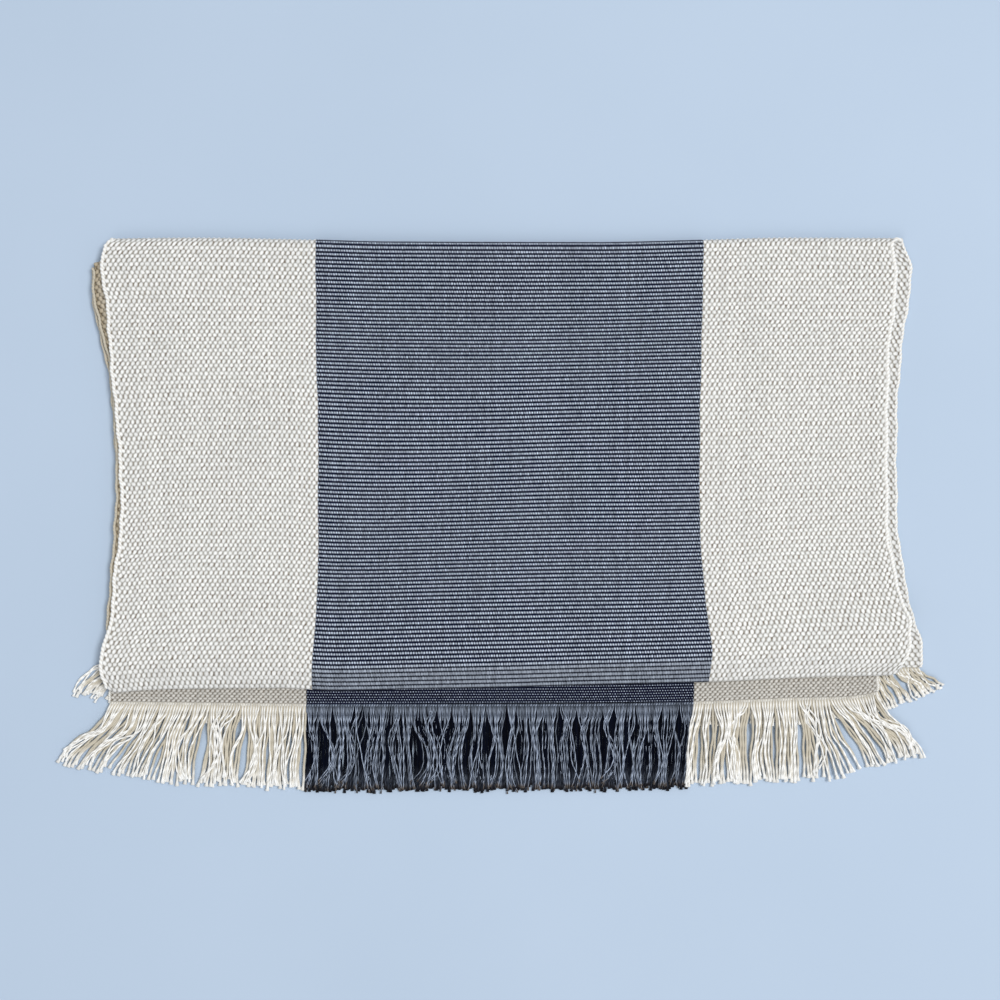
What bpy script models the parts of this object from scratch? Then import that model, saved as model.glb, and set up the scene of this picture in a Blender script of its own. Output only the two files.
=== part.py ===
"""A handwoven cotton bath mat, folded in four, with a knotted-off fringe at both warp ends.

One web of cloth runs end to end: cream, slate and cream warp bands between two selvedge cords.
It starts with its under end on the floor, turns up at the outer back fold, runs forward on top,
turns down at the front fold, runs back inside, turns down again at the inner back fold, and comes
forward as the inner lower layer to its upper end, whose fringe lies on the floor in front.
The web is split into pieces at its folds, because the two leaves turn about the back fold.
Axes: X across the web, Y from the fringe (-Y) to the back fold (+Y), Z up from the floor.
"""

import math
from dataclasses import dataclass

import bmesh
import bpy
from mathutils import Matrix, Vector

# The web, across its width
BAND_LEFT = 0.1560
BAND_MIDDLE = 0.2920
BAND_RIGHT = 0.1456
SELVEDGE_DIAMETER = 0.0026

# The web, through its thickness
CLOTH_THICKNESS = 0.0026
LAYER_GAP = 0.0006
FRINGE_THICKNESS = 0.0018

# Runs, measured forward from the back line of the outer back fold
LEAF_LENGTH = 0.333
UPPER_END_RUN = 0.350
UNDER_END_RUN = 0.322

# The two warp ends
LOCK_ROW_LENGTH = 0.0030
UNDER_FRINGE_LENGTH = 0.0440
UPPER_FRINGE_LENGTH = 0.0620
FRINGE_SPLAY = 0.0240

# How far the web drifts sideways where it was folded a little askew
SIDE_DRIFT = 0.010

# Fits and facets
PIECE_GAP = 0.0003
FOLD_NEST_CLEARANCE = 0.0034
FOLD_STEPS = 12
CORD_SIDES = 12

# Worked out from the sizes above. A fold's turn radius is measured to the middle of the cloth.
WEB_DEPTH = max(CLOTH_THICKNESS, SELVEDGE_DIAMETER)
LAYER_PITCH = WEB_DEPTH + LAYER_GAP
STACK_HEIGHT = 3 * LAYER_PITCH + WEB_DEPTH
OUTER_TURN_RADIUS = 1.5 * LAYER_PITCH
TIGHT_TURN_RADIUS = 0.5 * LAYER_PITCH
OUTER_FOLD_DEPTH = OUTER_TURN_RADIUS + WEB_DEPTH / 2
TIGHT_FOLD_DEPTH = TIGHT_TURN_RADIUS + WEB_DEPTH / 2
INNER_FOLD_RUN = WEB_DEPTH + FOLD_NEST_CLEARANCE
WEB_WIDTH = BAND_LEFT + BAND_MIDDLE + BAND_RIGHT + 2 * SELVEDGE_DIAMETER + 4 * PIECE_GAP
LOCKED_END_LENGTH = 2 * PIECE_GAP + LOCK_ROW_LENGTH
UNDER_TIPS_RUN = UNDER_END_RUN + LOCKED_END_LENGTH + UNDER_FRINGE_LENGTH
UPPER_TIPS_RUN = UPPER_END_RUN + LOCKED_END_LENGTH + UPPER_FRINGE_LENGTH
OVERALL_DEPTH = max(LEAF_LENGTH, UNDER_TIPS_RUN, UPPER_TIPS_RUN)
BACK_LINE_Y = OVERALL_DEPTH / 2
HINGE_POINT = Vector((0, BACK_LINE_Y, STACK_HEIGHT / 2))


@dataclass(frozen=True)
class Strip:
    """A stretch of the web between two lines that run along the warp."""

    name: str
    left: float
    right: float
    finish: str


@dataclass(frozen=True)
class Layer:
    """One run of the web between two folds, or between a fold and a warp end."""

    name: str
    level: int
    back_run: float
    front_run: float
    back_drift: float
    front_drift: float

    @property
    def middle(self):
        """The height of the middle of the cloth."""
        return self.level * LAYER_PITCH + WEB_DEPTH / 2

    @property
    def bottom(self):
        return self.middle - CLOTH_THICKNESS / 2

    @property
    def top(self):
        return self.middle + CLOTH_THICKNESS / 2


@dataclass(frozen=True)
class Fold:
    """A half turn of the web, from a lower layer up to a higher one."""

    name: str
    centre_run: float
    centre_height: float
    turn_radius: float
    drift: float
    towards_back: bool

    @property
    def lower_middle(self):
        """The height of the middle of the cloth where the fold leaves the lower layer."""
        return self.centre_height - self.turn_radius


@dataclass(frozen=True)
class Section:
    """An upright rectangle across the web: its side lines, its height and how far forward it is."""

    left: float
    right: float
    bottom: float
    top: float
    run: float

    def corners(self):
        y = BACK_LINE_Y - self.run
        return [
            Vector((self.left, y, self.bottom)),
            Vector((self.right, y, self.bottom)),
            Vector((self.right, y, self.top)),
            Vector((self.left, y, self.top)),
        ]


def clear_scene():
    for obj in list(bpy.data.objects):
        bpy.data.objects.remove(obj, do_unlink=True)


def make_material(name, colour, roughness):
    material = bpy.data.materials.new(name)
    material.use_nodes = True
    shader = material.node_tree.nodes["Principled BSDF"]
    shader.inputs["Base Color"].default_value = (*colour, 1)
    shader.inputs["Roughness"].default_value = roughness
    shader.inputs["Metallic"].default_value = 0.0
    material.diffuse_color = (*colour, 1)
    return material


def make_pivot(name, point):
    pivot = bpy.data.objects.new(name, None)
    pivot.location = point
    bpy.context.scene.collection.objects.link(pivot)
    return pivot


def add_piece(name, bm, pivot, material, smooth=False):
    """Makes an object from the bmesh, with its origin on the pivot that it turns about."""
    bmesh.ops.recalc_face_normals(bm, faces=bm.faces)
    bmesh.ops.translate(bm, verts=bm.verts, vec=-pivot.location)
    mesh = bpy.data.meshes.new(name)
    bm.to_mesh(mesh)
    bm.free()
    if smooth:
        mesh.shade_smooth()
        mesh.set_sharp_from_angle(angle=math.radians(40))
    mesh.materials.append(material.copy())
    obj = bpy.data.objects.new(name, mesh)
    obj.parent = pivot
    bpy.context.scene.collection.objects.link(obj)
    return obj


def rectangle_face(bm, section):
    return bm.faces.new([bm.verts.new(corner) for corner in section.corners()])


def round_face(bm, x, z, run):
    """A disc across the warp, for a selvedge cord."""
    place = Matrix.Translation((x, BACK_LINE_Y - run, z)) @ Matrix.Rotation(math.pi / 2, 4, "X")
    radius = SELVEDGE_DIAMETER / 2
    made = bmesh.ops.create_circle(bm, cap_ends=True, segments=CORD_SIDES, radius=radius, matrix=place)
    return made["verts"][0].link_faces[0]


def extrude_face(bm, face):
    """Extrudes a face, and drops the old one where it would be left inside the solid."""
    inside = len(face.edges[0].link_faces) > 1
    grown = bmesh.ops.extrude_face_region(bm, geom=[face])
    if inside:
        bm.faces.remove(face)
    return next(item for item in grown["geom"] if isinstance(item, bmesh.types.BMFace))


def loft(sections):
    """A closed solid through a row of rectangles."""
    bm = bmesh.new()
    face = rectangle_face(bm, sections[0])
    for before, after in zip(sections, sections[1:]):
        face = extrude_face(bm, face)
        for old, new in zip(before.corners(), after.corners()):
            corner = min(face.verts, key=lambda vert: (vert.co - old).length)
            corner.co = new
    return bm


def half_turn(bm, face, fold):
    """Spins a face that crosses the lower layer round the fold, up to the higher layer."""
    centre = (0, BACK_LINE_Y - fold.centre_run, fold.centre_height)
    axis = (1, 0, 0) if fold.towards_back else (-1, 0, 0)
    edges = list(face.edges)
    verts = list(face.verts)
    geom = [face, *edges, *verts]
    bmesh.ops.spin(bm, geom=geom, cent=centre, axis=axis, angle=math.pi, steps=FOLD_STEPS)


def make_strips():
    """The three warp bands, from left to right between the selvedge cords."""
    strips = []
    left = -WEB_WIDTH / 2 + SELVEDGE_DIAMETER + PIECE_GAP
    for name, width, finish in (
        ("cream_left", BAND_LEFT, "cream"),
        ("slate_middle", BAND_MIDDLE, "slate"),
        ("cream_right", BAND_RIGHT, "cream"),
    ):
        strips.append(Strip(name, left, left + width, finish))
        left += width + PIECE_GAP
    return strips


def make_layers():
    """The web's four flat runs, in the order that the web passes through them."""
    outer_start = OUTER_FOLD_DEPTH + PIECE_GAP
    inner_start = INNER_FOLD_RUN + TIGHT_FOLD_DEPTH + PIECE_GAP
    front = LEAF_LENGTH - TIGHT_FOLD_DEPTH - PIECE_GAP
    return {
        "lower_outer": Layer("lower_outer", 0, outer_start, UNDER_END_RUN, 0, SIDE_DRIFT),
        "upper_outer": Layer("upper_outer", 3, outer_start, front, 0, 0),
        "upper_inner": Layer("upper_inner", 2, inner_start, front, -SIDE_DRIFT, 0),
        "lower_inner": Layer("lower_inner", 1, inner_start, UPPER_END_RUN, -SIDE_DRIFT, -SIDE_DRIFT),
    }


def make_folds():
    """The web's three half turns."""
    middle = STACK_HEIGHT / 2
    front_height = middle + LAYER_PITCH
    front_centre = LEAF_LENGTH - TIGHT_FOLD_DEPTH
    inner_centre = INNER_FOLD_RUN + TIGHT_FOLD_DEPTH
    return {
        "outer": Fold("outer_back_fold", OUTER_FOLD_DEPTH, middle, OUTER_TURN_RADIUS, 0, True),
        "inner": Fold("inner_back_fold", inner_centre, middle, TIGHT_TURN_RADIUS, -SIDE_DRIFT, True),
        "front": Fold("front_fold", front_centre, front_height, TIGHT_TURN_RADIUS, 0, False),
    }


def cord_offsets():
    """The two selvedge cords' centre lines, across the web."""
    middle = (WEB_WIDTH - SELVEDGE_DIAMETER) / 2
    return {"left": -middle, "right": middle}


def add_panel(layer, strip, pivot, material):
    """One warp band of one flat layer."""
    sections = [
        Section(strip.left + drift, strip.right + drift, layer.bottom, layer.top, run)
        for run, drift in ((layer.back_run, layer.back_drift), (layer.front_run, layer.front_drift))
    ]
    add_piece(f"{layer.name}_{strip.name}", loft(sections), pivot, material)


def add_fold(fold, strip, pivot, material):
    """One warp band of one fold."""
    bottom = fold.lower_middle - CLOTH_THICKNESS / 2
    top = fold.lower_middle + CLOTH_THICKNESS / 2
    bm = bmesh.new()
    start = Section(strip.left + fold.drift, strip.right + fold.drift, bottom, top, fold.centre_run)
    half_turn(bm, rectangle_face(bm, start), fold)
    add_piece(f"{fold.name}_{strip.name}", bm, pivot, material, smooth=True)


def add_panel_selvedge(layer, side, offset, pivot, material):
    """The cord that edges one side of a flat layer."""
    bm = bmesh.new()
    face = round_face(bm, offset + layer.back_drift, layer.middle, layer.back_run)
    far_face = extrude_face(bm, face)
    forward = layer.front_run - layer.back_run
    sideways = layer.front_drift - layer.back_drift
    bmesh.ops.translate(bm, verts=far_face.verts, vec=(sideways, -forward, 0))
    add_piece(f"selvedge_{side}_{layer.name}", bm, pivot, material, smooth=True)


def add_fold_selvedge(fold, side, offset, pivot, material):
    """The cord that edges one side of a fold."""
    bm = bmesh.new()
    start = round_face(bm, offset + fold.drift, fold.lower_middle, fold.centre_run)
    half_turn(bm, start, fold)
    add_piece(f"selvedge_{side}_{fold.name}", bm, pivot, material, smooth=True)


def add_lock_row(end, layer, strip, pivot, material):
    """The row of tight twining that stops the weft from running off a warp end."""
    left = strip.left + layer.front_drift
    right = strip.right + layer.front_drift
    back_run = layer.front_run + PIECE_GAP
    front_run = back_run + LOCK_ROW_LENGTH
    sections = [Section(left, right, layer.bottom, layer.top, run) for run in (back_run, front_run)]
    add_piece(f"lock_row_{end}_{strip.name}", loft(sections), pivot, material)


def fringe_section(layer, strip, run, tips_run, bottom):
    """A cut across one band of a fringe, whose outer side splays out towards the tips."""
    roots_run = layer.front_run + LOCKED_END_LENGTH
    share = (run - roots_run) / (tips_run - roots_run)
    left = strip.left + layer.front_drift
    right = strip.right + layer.front_drift
    if strip.name == "cream_left":
        left -= FRINGE_SPLAY * share
    if strip.name == "cream_right":
        right += FRINGE_SPLAY * share
    return Section(left, right, bottom, bottom + FRINGE_THICKNESS, run)


def add_under_fringe(layer, strip, pivot, material):
    """Cut warp ends that lie flat on the floor."""
    runs = (UNDER_END_RUN + LOCKED_END_LENGTH, UNDER_TIPS_RUN)
    sections = [fringe_section(layer, strip, run, UNDER_TIPS_RUN, 0) for run in runs]
    add_piece(f"fringe_under_end_{strip.name}", loft(sections), pivot, material)


def height_clear_of_under_end(run):
    """The lowest that the upper fringe can lie at a run, over the under end and its fringe."""
    if run <= UNDER_END_RUN + LOCKED_END_LENGTH:
        return WEB_DEPTH + PIECE_GAP
    if run <= UNDER_TIPS_RUN + PIECE_GAP:
        return FRINGE_THICKNESS + PIECE_GAP
    return 0


def add_upper_fringe(layer, strip, pivot, material):
    """Cut warp ends that lie over the under end, then come down to the floor where it stops."""
    start = UPPER_END_RUN + LOCKED_END_LENGTH
    steps = (UNDER_END_RUN + LOCKED_END_LENGTH, UNDER_TIPS_RUN + PIECE_GAP, UPPER_TIPS_RUN)
    root_height = max(layer.bottom, height_clear_of_under_end(start))
    sections = [fringe_section(layer, strip, start, UPPER_TIPS_RUN, root_height)]
    for run in sorted(steps):
        if start < run <= UPPER_TIPS_RUN:
            height = height_clear_of_under_end(run)
            sections.append(fringe_section(layer, strip, run, UPPER_TIPS_RUN, height))
    add_piece(f"fringe_upper_end_{strip.name}", loft(sections), pivot, material)


def build_bands(layers, folds, base, top, materials):
    for strip in make_strips():
        web = materials[f"{strip.finish}_web"]
        yarn = materials[f"{strip.finish}_yarn"]
        add_panel(layers["lower_outer"], strip, base, web)
        add_panel(layers["lower_inner"], strip, base, web)
        add_panel(layers["upper_inner"], strip, top, web)
        add_panel(layers["upper_outer"], strip, top, web)
        add_fold(folds["outer"], strip, base, web)
        add_fold(folds["inner"], strip, base, web)
        add_fold(folds["front"], strip, top, web)
        add_lock_row("under_end", layers["lower_outer"], strip, base, yarn)
        add_lock_row("upper_end", layers["lower_inner"], strip, base, yarn)
        add_under_fringe(layers["lower_outer"], strip, base, yarn)
        add_upper_fringe(layers["lower_inner"], strip, base, yarn)


def build_selvedges(layers, folds, base, top, material):
    for side, offset in cord_offsets().items():
        add_panel_selvedge(layers["lower_outer"], side, offset, base, material)
        add_panel_selvedge(layers["lower_inner"], side, offset, base, material)
        add_panel_selvedge(layers["upper_inner"], side, offset, top, material)
        add_panel_selvedge(layers["upper_outer"], side, offset, top, material)
        add_fold_selvedge(folds["outer"], side, offset, base, material)
        add_fold_selvedge(folds["inner"], side, offset, base, material)
        add_fold_selvedge(folds["front"], side, offset, top, material)


def main():
    clear_scene()
    materials = {
        "cream_web": make_material("cream_web", (0.61, 0.60, 0.57), 0.92),
        "slate_web": make_material("slate_web", (0.14, 0.155, 0.20), 0.90),
        "cream_yarn": make_material("cream_yarn", (0.66, 0.65, 0.62), 0.95),
        "slate_yarn": make_material("slate_yarn", (0.075, 0.09, 0.13), 0.93),
    }
    base = make_pivot("base_leaf_pivot", Vector((0, 0, 0)))
    top = make_pivot("top_leaf_pivot", HINGE_POINT)
    layers = make_layers()
    folds = make_folds()
    build_bands(layers, folds, base, top, materials)
    build_selvedges(layers, folds, base, top, materials["cream_yarn"])


main()
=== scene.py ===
"""Looks of a handwoven cotton bath mat, folded in four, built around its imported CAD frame.

The web is cream, slate and cream warp bands between two selvedge cords, with a row of lock beads and
a loose fringe at each warp end. It is followed from its under end to its upper end by a journey
number: 0 to 1 is the lower outer run, 1 to 2 the outer back fold, 2 to 3 the upper outer run, 3 to 4
the front fold, 4 to 5 the upper inner run, 5 to 6 the inner back fold, 6 to 7 the lower inner run.
OUTER_BEND and INNER_BEND are the middles of the two back folds, and WEB_STOP is a hair short of 7.
All lengths are in metres. Places across the web are shares of its width, from left to right.
"""

import logging
import math
from dataclasses import dataclass, field, replace
from enum import Enum
from typing import Optional, Sequence, Union

import bmesh
import bpy
import numpy as np
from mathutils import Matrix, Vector


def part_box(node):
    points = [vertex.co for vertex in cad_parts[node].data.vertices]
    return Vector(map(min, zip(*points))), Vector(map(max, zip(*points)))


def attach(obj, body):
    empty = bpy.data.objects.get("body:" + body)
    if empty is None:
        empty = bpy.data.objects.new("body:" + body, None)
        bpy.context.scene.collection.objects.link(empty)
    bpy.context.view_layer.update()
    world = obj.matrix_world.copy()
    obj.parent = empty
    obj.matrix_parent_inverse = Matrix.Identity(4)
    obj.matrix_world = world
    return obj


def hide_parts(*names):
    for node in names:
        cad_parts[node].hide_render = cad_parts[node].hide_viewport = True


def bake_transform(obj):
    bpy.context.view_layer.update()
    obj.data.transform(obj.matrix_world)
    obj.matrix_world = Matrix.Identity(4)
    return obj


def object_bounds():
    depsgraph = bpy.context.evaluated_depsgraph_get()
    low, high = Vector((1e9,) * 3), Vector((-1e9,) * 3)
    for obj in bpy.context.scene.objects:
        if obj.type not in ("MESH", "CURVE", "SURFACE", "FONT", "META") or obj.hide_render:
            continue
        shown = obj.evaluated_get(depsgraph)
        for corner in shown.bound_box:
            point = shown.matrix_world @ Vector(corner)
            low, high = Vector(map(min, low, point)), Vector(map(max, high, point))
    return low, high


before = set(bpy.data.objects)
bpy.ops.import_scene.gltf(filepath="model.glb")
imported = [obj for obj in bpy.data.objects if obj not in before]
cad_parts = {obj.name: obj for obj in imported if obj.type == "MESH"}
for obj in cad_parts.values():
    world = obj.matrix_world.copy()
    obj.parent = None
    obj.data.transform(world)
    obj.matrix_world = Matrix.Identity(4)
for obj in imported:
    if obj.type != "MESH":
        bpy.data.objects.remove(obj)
cad_low, cad_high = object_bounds()

LOG = logging.getLogger("bath_mat")
BASE, TOP = "base_leaf", "top_leaf"
OUTER_BEND, INNER_BEND = 1.5, 5.5
WEB_START, WEB_STOP = 0.0, 7.0 - 1e-6

Colour = tuple[float, float, float]
Knots = Sequence[tuple[float, float]]
Number = Union[float, "Varying"]


class WarpEnd(Enum):
    """The two cut ends of the web."""

    UNDER = "under_end"
    UPPER = "upper_end"


class Stretch(Enum):
    """The two lengths that each band's cloth is made in, which meet inside the folded mat."""

    OUTER = "outer"
    INNER = "inner"


# ---- Numbers ---------------------------------------------------------


def smooth(share: np.ndarray) -> np.ndarray:
    """Eases 0 to 1 with no slope at either end.

    Args:
        share: Any numbers; those below 0 and above 1 are held there.

    Returns:
        The eased numbers, from 0 to 1.
    """
    held = np.clip(share, 0.0, 1.0)
    return held * held * (3.0 - 2.0 * held)


def through(knots: Knots, at: np.ndarray) -> np.ndarray:
    """Reads a smooth curve that passes through a few knots and never overshoots them.

    Args:
        knots: (place, value) pairs in rising order of place.
        at: The places to read.

    Returns:
        The curve's values there, held at the end knots outside them.
    """
    places, values = np.array(knots, float).T
    # Each inner slope is the harmonic mean of the slopes beside it, and flat at a peak.
    rates = np.diff(values) / np.diff(places)
    agree = rates[1:] * rates[:-1] > 0
    total = np.where(agree, rates[1:] + rates[:-1], 1.0)
    inner = np.where(agree, 2 * rates[1:] * rates[:-1] / total, 0.0)
    slopes = np.concatenate([rates[:1], inner, rates[-1:]])
    at = np.clip(np.asarray(at, float), places[0], places[-1])
    left = np.clip(np.searchsorted(places, at, side="right") - 1, 0, len(places) - 2)
    span = places[left + 1] - places[left]
    t = (at - places[left]) / span
    ease = t * t * (3 - 2 * t)
    rise = values[left + 1] - values[left]
    lean = slopes[left] * t * (1 - t) ** 2 - slopes[left + 1] * t * t * (1 - t)
    return values[left] + rise * ease + span * lean


@dataclass(frozen=True)
class Turn:
    """A half turn of the web: half an ellipse, passed along evenly."""

    reach: float
    rise: float

    def _travel(self) -> tuple[np.ndarray, np.ndarray]:
        """Angles from 0 to a half turn, and the way travelled to each.

        Returns:
            The angles, and as many lengths.
        """
        angles = np.linspace(0.0, math.pi, 181)
        speed = np.hypot(self.reach * np.cos(angles), self.rise * np.sin(angles))
        steps = (speed[1:] + speed[:-1]) / 2 * (angles[1] - angles[0])
        return angles, np.concatenate([[0.0], np.cumsum(steps)])

    def angle(self, share: np.ndarray) -> np.ndarray:
        """The angle reached after a share of the way."""
        angles, travel = self._travel()
        return np.interp(share * travel[-1], travel, angles)


# ---- Meshes ----------------------------------------------------------


def mesh_from(name: str, bm: bmesh.types.BMesh) -> bpy.types.Mesh:
    """Turns a bmesh into a new mesh, and frees it.

    Args:
        name: The mesh's name.
        bm: The bmesh.

    Returns:
        The mesh.
    """
    mesh = bpy.data.meshes.new(name)
    bm.to_mesh(mesh)
    bm.free()
    return mesh


def points_of(mesh: bpy.types.Mesh) -> np.ndarray:
    """A mesh's points, one to a row.

    Args:
        mesh: Any mesh.

    Returns:
        Its points, in the order that the mesh holds them.
    """
    flat = np.empty(len(mesh.vertices) * 3, np.float32)
    mesh.vertices.foreach_get("co", flat)
    return flat.reshape(-1, 3).astype(float)


def move_points(mesh: bpy.types.Mesh, points: np.ndarray) -> None:
    """Puts a mesh's points in new places."""
    mesh.vertices.foreach_set("co", points.astype(np.float32).ravel())
    mesh.update()


def lay_pattern(mesh: bpy.types.Mesh, uvs: np.ndarray) -> None:
    """Gives a mesh its pattern coordinates, from those of its points.

    Args:
        mesh: Any mesh.
        uvs: The pattern coordinates of each of its points.
    """
    corners = np.empty(len(mesh.loops), np.int32)
    mesh.loops.foreach_get("vertex_index", corners)
    layer = mesh.uv_layers.new(name="pattern")
    layer.uv.foreach_set("vector", uvs[corners].astype(np.float32).ravel())


def mark_painted_shade(mesh: bpy.types.Mesh, values: np.ndarray) -> None:
    """Stores how much painted shade each point takes, from 0 to 1."""
    attribute = mesh.attributes.new("painted_shade", "FLOAT", "POINT")
    attribute.data.foreach_set("value", values.astype(np.float32).ravel())


def wrapped_grid(name: str, points: np.ndarray, uvs: np.ndarray,
                 painted_shade: Optional[np.ndarray] = None) -> bpy.types.Mesh:
    """Wraps a grid round into a closed skin with a filled face at each end.

    Args:
        name: The mesh's name.
        points: Rows of points, where each row's last point repeats its first.
        uvs: The pattern coordinates of the same points.
        painted_shade: How much painted shade each point takes, if the skin is to store it.

    Returns:
        The mesh, smooth shaded, with its normals outwards.
    """
    rows, columns = points.shape[0] - 1, points.shape[1] - 1
    bm = bmesh.new()
    bmesh.ops.create_grid(bm, x_segments=columns, y_segments=rows, size=1.0)
    mesh = mesh_from(name, bm)
    square = points_of(mesh)[:, :2]
    share = (square - square.min(0)) / np.ptp(square, axis=0)
    column, row = np.rint(share * (columns, rows)).astype(int).T
    move_points(mesh, points[row, column])
    lay_pattern(mesh, uvs[row, column])
    if painted_shade is not None:
        mark_painted_shade(mesh, painted_shade[row, column])
    close_skin(mesh)
    return mesh


def close_skin(mesh: bpy.types.Mesh) -> None:
    """Merges a wrapped grid's seam, fills its two ends and turns its faces outwards.

    Args:
        mesh: The grid, whose first and last columns of points meet.
    """
    bm = bmesh.new()
    bm.from_mesh(mesh)
    bmesh.ops.remove_doubles(bm, verts=bm.verts, dist=1e-7)
    bmesh.ops.edgeloop_fill(bm, edges=[edge for edge in bm.edges if edge.is_boundary])
    bmesh.ops.recalc_face_normals(bm, faces=bm.faces)
    bm.to_mesh(mesh)
    bm.free()
    mesh.shade_smooth()


def repeated(name: str, template: bpy.types.Mesh, count: int) -> bpy.types.Mesh:
    """Makes one mesh of many copies of a template, one after another.

    Args:
        name: The new mesh's name.
        template: The mesh to copy, which is removed afterwards.
        count: How many copies.

    Returns:
        The mesh, whose pattern coordinate across rises by one with each copy.
    """
    bm = bmesh.new()
    for _ in range(count):
        bm.from_mesh(template)
    mesh = mesh_from(name, bm)
    bpy.data.meshes.remove(template)
    flat = np.empty(len(mesh.loops) * 2, np.float32)
    layer = mesh.uv_layers[0]
    layer.uv.foreach_get("vector", flat)
    uvs = flat.reshape(count, -1, 2)
    uvs[:, :, 0] += np.arange(count)[:, None]
    layer.uv.foreach_set("vector", uvs.ravel())
    mesh.shade_smooth()
    return mesh


def linked(name: str, data: bpy.types.ID) -> bpy.types.Object:
    """A new object in the scene, around a mesh, a lamp or a camera.

    Args:
        name: The object's name.
        data: What it shows.

    Returns:
        The object.
    """
    made = bpy.data.objects.new(name, data)
    bpy.context.scene.collection.objects.link(made)
    return made


def show(mesh: bpy.types.Mesh, finish: bpy.types.Material) -> bpy.types.Object:
    """Puts a finished mesh in the scene.

    Args:
        mesh: The mesh, in its final place.
        finish: Its material.

    Returns:
        The new object, named after its mesh.
    """
    mesh.materials.append(finish)
    piece = linked(mesh.name, mesh)
    LOG.info("%s: %d faces", piece.name, len(mesh.polygons))
    return piece


# ---- Shader maths ----------------------------------------------------


class Varying:
    """A number that changes over the surface: a node's output that takes part in arithmetic."""

    def __init__(self, graph: "Graph", socket: bpy.types.NodeSocket) -> None:
        """Wraps one output socket of a graph."""
        self.graph = graph
        self.socket = socket

    def _with(self, operation: str, *values: Number) -> "Varying":
        """The result of a Math node on these values."""
        return self.graph.node("ShaderNodeMath", {"operation": operation}, dict(enumerate(values)))

    def __add__(self, other: Number) -> "Varying":
        """self + other."""
        return self._with("ADD", self, other)

    __radd__ = __add__

    def __sub__(self, other: Number) -> "Varying":
        """self - other."""
        return self._with("SUBTRACT", self, other)

    def __rsub__(self, other: Number) -> "Varying":
        """other - self."""
        return self._with("SUBTRACT", other, self)

    def __mul__(self, other: Number) -> "Varying":
        """self * other."""
        return self._with("MULTIPLY", self, other)

    __rmul__ = __mul__

    def __truediv__(self, other: Number) -> "Varying":
        """self / other."""
        return self._with("DIVIDE", self, other)

    def __pow__(self, power: Number) -> "Varying":
        """self to a power."""
        return self._with("POWER", self, power)

    def fraction(self) -> "Varying":
        """What is left over whole numbers."""
        return self._with("FRACT", self)

    def whole(self) -> "Varying":
        """The whole number below."""
        return self._with("FLOOR", self)

    def wave(self) -> "Varying":
        """A sine that repeats at whole numbers."""
        return self._with("SINE", self * math.tau)

    def or_more(self, other: Number) -> "Varying":
        """The larger of the two."""
        return self._with("MAXIMUM", self, other)


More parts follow.
